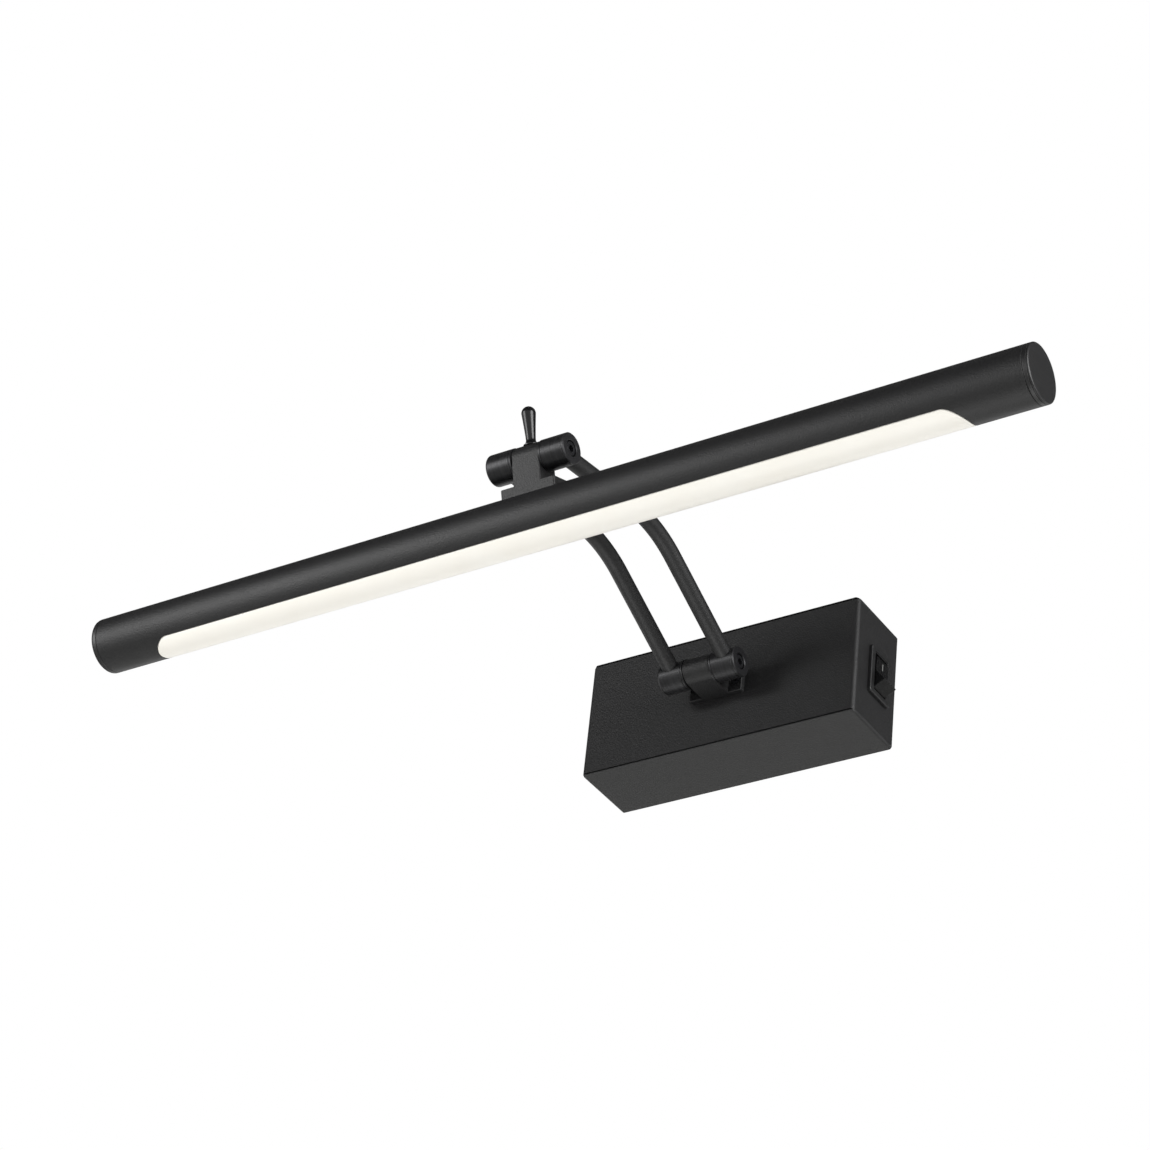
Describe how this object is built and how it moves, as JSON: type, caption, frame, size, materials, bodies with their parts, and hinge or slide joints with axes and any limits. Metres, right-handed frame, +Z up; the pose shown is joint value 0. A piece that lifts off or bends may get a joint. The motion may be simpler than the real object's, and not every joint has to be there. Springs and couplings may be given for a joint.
{
  "type": "picture light",
  "caption": "Slim wall-mounted picture light: a tubular lamp head on two bent parallel arms, hinged to a rectangular wall box with a side rocker switch.",
  "frame": {"origin": "centre of the wall plate's back face, on the wall plane", "axes": "+X to the right along the lamp tube as seen from the room, +Y into the wall, +Z up"},
  "size_m": [0.398, 0.1738, 0.0623],
  "materials": {
    "black_powder_coat": "satin, fine texture",
    "black_anodised": "satin, turned",
    "blackened_steel": "black oxide",
    "zinc_plate": "zinc plated",
    "black_gloss_plastic": "glossy, moulded",
    "black_satin_plastic": "satin, moulded",
    "opal_diffuser": "opal, satin",
    "white_plastic": "satin",
    "cream_plastic": "satin",
    "brass": "turned",
    "black_rubber": "matte",
    "lead_insulation": "satin",
    "extruded_aluminium": "mill finish",
    "board_white": "solder mask",
    "led_phosphor": "matte"
  },
  "bodies": {
    "wall_unit": {"box_cover": "black_powder_coat", "wall_plate": "zinc_plate", "cable_grommet": "black_rubber", "cover_screws": "blackened_steel", "led_driver": "white_plastic", "driver_screws": "zinc_plate", "terminal_block": "cream_plastic", "terminal_screws": "brass", "earth_screw": "brass", "driver_leads": "lead_insulation", "switch_leads": "lead_insulation", "switch_housing": "black_satin_plastic", "switch_terminals": "brass", "backing_plate": "zinc_plate", "lower_knuckle": "black_powder_coat", "lower_flange_screws": "blackened_steel"},
    "switch_rocker": {"rocker": "black_gloss_plastic"},
    "arms": {"lower_collar_left": "black_anodised", "lower_collar_right": "black_anodised", "lower_pivot_bolt": "blackened_steel", "lower_washers": "black_anodised", "arm_rod_left": "black_powder_coat", "arm_rod_right": "black_powder_coat", "upper_collar_left": "black_anodised", "upper_collar_right": "black_anodised", "upper_pivot_bolt": "blackened_steel", "upper_washers": "black_anodised"},
    "head": {"upper_knuckle": "black_powder_coat", "upper_flange_screws": "blackened_steel", "nut_bar": "zinc_plate", "clamp_pad": "brass", "lamp_tube": "black_powder_coat", "end_cap_left": "black_satin_plastic", "end_cap_right": "black_satin_plastic", "diffuser": "opal_diffuser", "led_carrier": "extruded_aluminium", "carrier_screws": "zinc_plate", "led_board": "board_white", "leds": "led_phosphor"},
    "clamp_lever": {"lever_handle": "black_gloss_plastic", "lever_stud": "blackened_steel"}
  },
  "joints": [
    {"name": "arm_pitch", "type": "hinge", "parent": "wall_unit", "child": "arms", "pos_m": [0, -0.0427, 0], "axis": [1, 0, 0], "range_deg": [-70, 60]},
    {"name": "head_tilt", "type": "hinge", "parent": "arms", "child": "head", "pos_m": [0, -0.16522, 0.01722], "axis": [1, 0, 0], "range_deg": [-90, 30]},
    {"name": "lever_turn", "type": "hinge", "parent": "head", "child": "clamp_lever", "pos_m": [0, -0.16522, 0.01722], "axis": [0, -0.3305, 0.9438], "range_deg": [-270, 0]},
    {"name": "rocker_throw", "type": "hinge", "parent": "wall_unit", "child": "switch_rocker", "pos_m": [0.059, -0.0135, -0.001], "axis": [0, 1, 0], "range_deg": [0, 24]}
  ]
}
